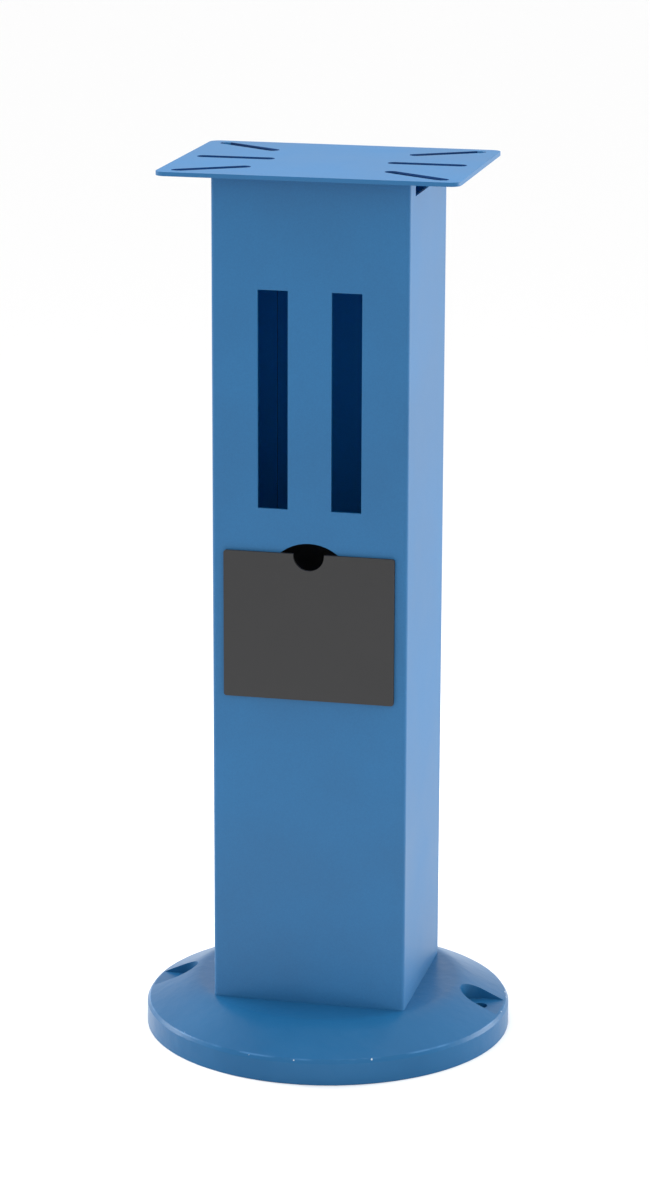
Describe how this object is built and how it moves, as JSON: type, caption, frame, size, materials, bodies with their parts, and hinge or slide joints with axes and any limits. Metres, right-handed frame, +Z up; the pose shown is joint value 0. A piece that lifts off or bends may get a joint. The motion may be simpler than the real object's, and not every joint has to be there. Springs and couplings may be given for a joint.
{
  "type": "bench grinder stand",
  "caption": "Floor pedestal for a bench grinder: slotted top plate on a folded steel column with a pull-out tray, bolted to a round cast base.",
  "frame": {"origin": "on the floor, under the middle of the column and of the round base", "axes": "+Z up along the column, -Y to the front where the tray pulls out, +X to the right-hand side seen from the front"},
  "size_m": [0.36, 0.36, 0.86],
  "materials": {
    "blue_powder_coat": "semi-gloss powder coat on folded sheet steel",
    "blue_casting_enamel": "semi-gloss enamel on grey cast iron, slightly uneven from the sand mould",
    "zinc_steel": "zinc-plated steel fasteners",
    "dark_tray_plastic": "dark grey moulded plastic, fine matt grain"
  },
  "bodies": {
    "stand": {"base_casting": "blue_casting_enamel", "base_bolts": "zinc_steel", "base_spring_washers": "zinc_steel", "foot_plate": "blue_powder_coat", "foot_weld_nuts": "zinc_steel", "column_front": "blue_powder_coat", "column_rear_panel": "blue_powder_coat", "rear_panel_screws": "zinc_steel", "rear_panel_nuts": "zinc_steel", "top_plate": "blue_powder_coat", "plate_bearer_front": "blue_powder_coat", "plate_bearer_rear": "blue_powder_coat", "tray_runner_left": "blue_powder_coat", "tray_runner_right": "blue_powder_coat"},
    "tray": {"tray_bin": "dark_tray_plastic"}
  },
  "joints": [
    {"name": "tray_slide", "type": "slide", "parent": "stand", "child": "tray", "axis": [0, -1, 0], "range_m": [0, 0.12]}
  ]
}
